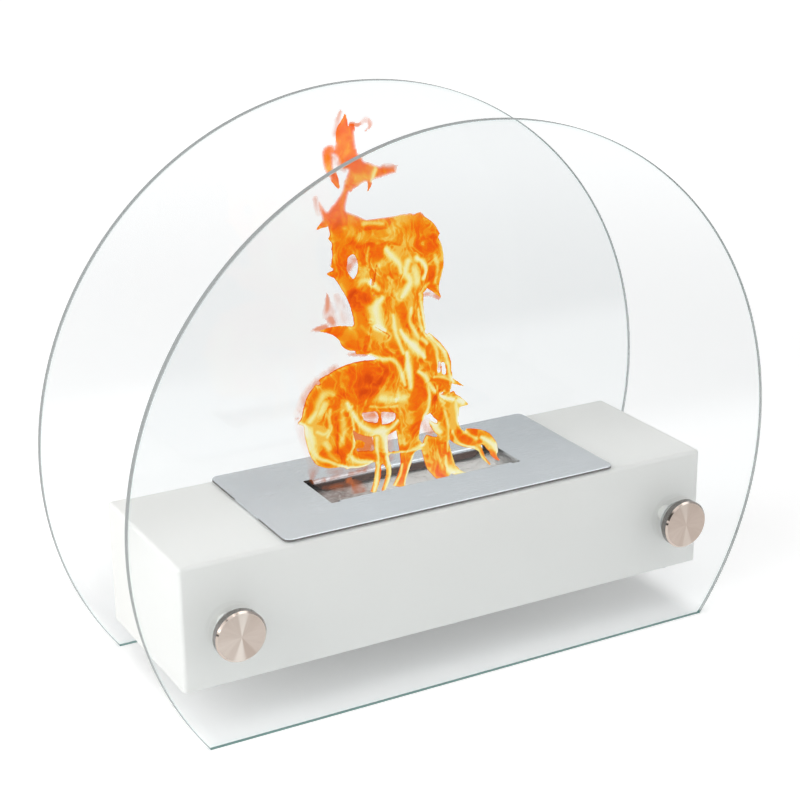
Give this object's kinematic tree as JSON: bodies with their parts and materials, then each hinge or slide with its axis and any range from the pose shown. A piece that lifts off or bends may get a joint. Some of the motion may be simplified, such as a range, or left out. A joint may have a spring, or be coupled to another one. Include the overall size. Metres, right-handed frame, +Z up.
{
  "type": "tabletop bioethanol fireplace",
  "caption": "Table-top bioethanol fireplace: a white steel housing hung between round clear glass panels on turned steel stand-offs, with a slotted lift-out burner.",
  "frame": {"origin": "on the table, centred under the fireplace, between the flat bottom edges of the glass panels", "axes": "+X along the length to the right seen from the front, +Y to the back, +Z up; the front glass faces -Y"},
  "size_m": [0.4, 0.1506, 0.3185],
  "materials": {
    "white_powder_coat": "fine satin white powder coat",
    "polished_steel": "polished stainless steel, slightly hazy",
    "turned_steel": "faced on a lathe, fine circular grain, polished bevel",
    "tank_steel": "plain mill-finish stainless steel",
    "zinc_steel": "bright zinc plate",
    "clear_glass": "clear toughened glass with ground edges",
    "clear_plastic": "clear soft plastic",
    "white_nylon": "natural nylon",
    "ceramic_wool": "white ceramic fibre"
  },
  "bodies": {
    "housing": {"housing_shell": "white_powder_coat", "base_panel": "white_powder_coat", "base_screws": "zinc_steel", "wall_bolts": "zinc_steel", "wall_washers": "zinc_steel", "front_glass": "clear_glass", "rear_glass": "clear_glass", "front_inner_washers": "clear_plastic", "rear_inner_washers": "clear_plastic", "front_glass_sleeves": "white_nylon", "rear_glass_sleeves": "white_nylon", "front_left_barrel": "white_powder_coat", "front_right_barrel": "white_powder_coat", "rear_left_barrel": "white_powder_coat", "rear_right_barrel": "white_powder_coat"},
    "burner": {"fuel_tank": "tank_steel", "wool_pad": "ceramic_wool"},
    "cover": {"cover_plate": "polished_steel", "left_locating_bracket": "tank_steel", "right_locating_bracket": "tank_steel"},
    "front_left_washer_body": {"front_left_cap_washer": "clear_plastic"},
    "front_left_cap_body": {"front_left_cap": "turned_steel"},
    "front_right_washer_body": {"front_right_cap_washer": "clear_plastic"},
    "front_right_cap_body": {"front_right_cap": "turned_steel"},
    "rear_left_washer_body": {"rear_left_cap_washer": "clear_plastic"},
    "rear_left_cap_body": {"rear_left_cap": "turned_steel"},
    "rear_right_washer_body": {"rear_right_cap_washer": "clear_plastic"},
    "rear_right_cap_body": {"rear_right_cap": "turned_steel"}
  },
  "joints": [
    {"name": "burner_lift", "type": "slide", "parent": "housing", "child": "burner", "axis": [0, 0, 1], "range_m": [0, 0.28]},
    {"name": "cover_lift", "type": "slide", "parent": "burner", "child": "cover", "axis": [0, 0, 1], "range_m": [0, 0.235]},
    {"name": "front_left_cap_travel", "type": "slide", "parent": "housing", "child": "front_left_washer_body", "axis": [0, -1, 0], "range_m": [0, 0.0065]},
    {"name": "front_left_cap_turn", "type": "hinge", "parent": "front_left_washer_body", "child": "front_left_cap_body", "pos_m": [-0.143, -0.0705, 0.0645], "axis": [0, -1, 0], "range_deg": [0, 2340]},
    {"name": "front_right_cap_travel", "type": "slide", "parent": "housing", "child": "front_right_washer_body", "axis": [0, -1, 0], "range_m": [0, 0.0065]},
    {"name": "front_right_cap_turn", "type": "hinge", "parent": "front_right_washer_body", "child": "front_right_cap_body", "pos_m": [0.143, -0.0705, 0.0645], "axis": [0, -1, 0], "range_deg": [0, 2340]},
    {"name": "rear_left_cap_travel", "type": "slide", "parent": "housing", "child": "rear_left_washer_body", "axis": [0, 1, 0], "range_m": [0, 0.0065]},
    {"name": "rear_left_cap_turn", "type": "hinge", "parent": "rear_left_washer_body", "child": "rear_left_cap_body", "pos_m": [-0.143, 0.0705, 0.0645], "axis": [0, 1, 0], "range_deg": [0, 2340]},
    {"name": "rear_right_cap_travel", "type": "slide", "parent": "housing", "child": "rear_right_washer_body", "axis": [0, 1, 0], "range_m": [0, 0.0065]},
    {"name": "rear_right_cap_turn", "type": "hinge", "parent": "rear_right_washer_body", "child": "rear_right_cap_body", "pos_m": [0.143, 0.0705, 0.0645], "axis": [0, 1, 0], "range_deg": [0, 2340]}
  ],
  "couplings": [
    {"joint": "front_left_cap_travel", "follows": "front_left_cap_turn", "m_per_rad": 0.00015915},
    {"joint": "front_right_cap_travel", "follows": "front_right_cap_turn", "m_per_rad": 0.00015915},
    {"joint": "rear_left_cap_travel", "follows": "rear_left_cap_turn", "m_per_rad": 0.00015915},
    {"joint": "rear_right_cap_travel", "follows": "rear_right_cap_turn", "m_per_rad": 0.00015915}
  ]
}
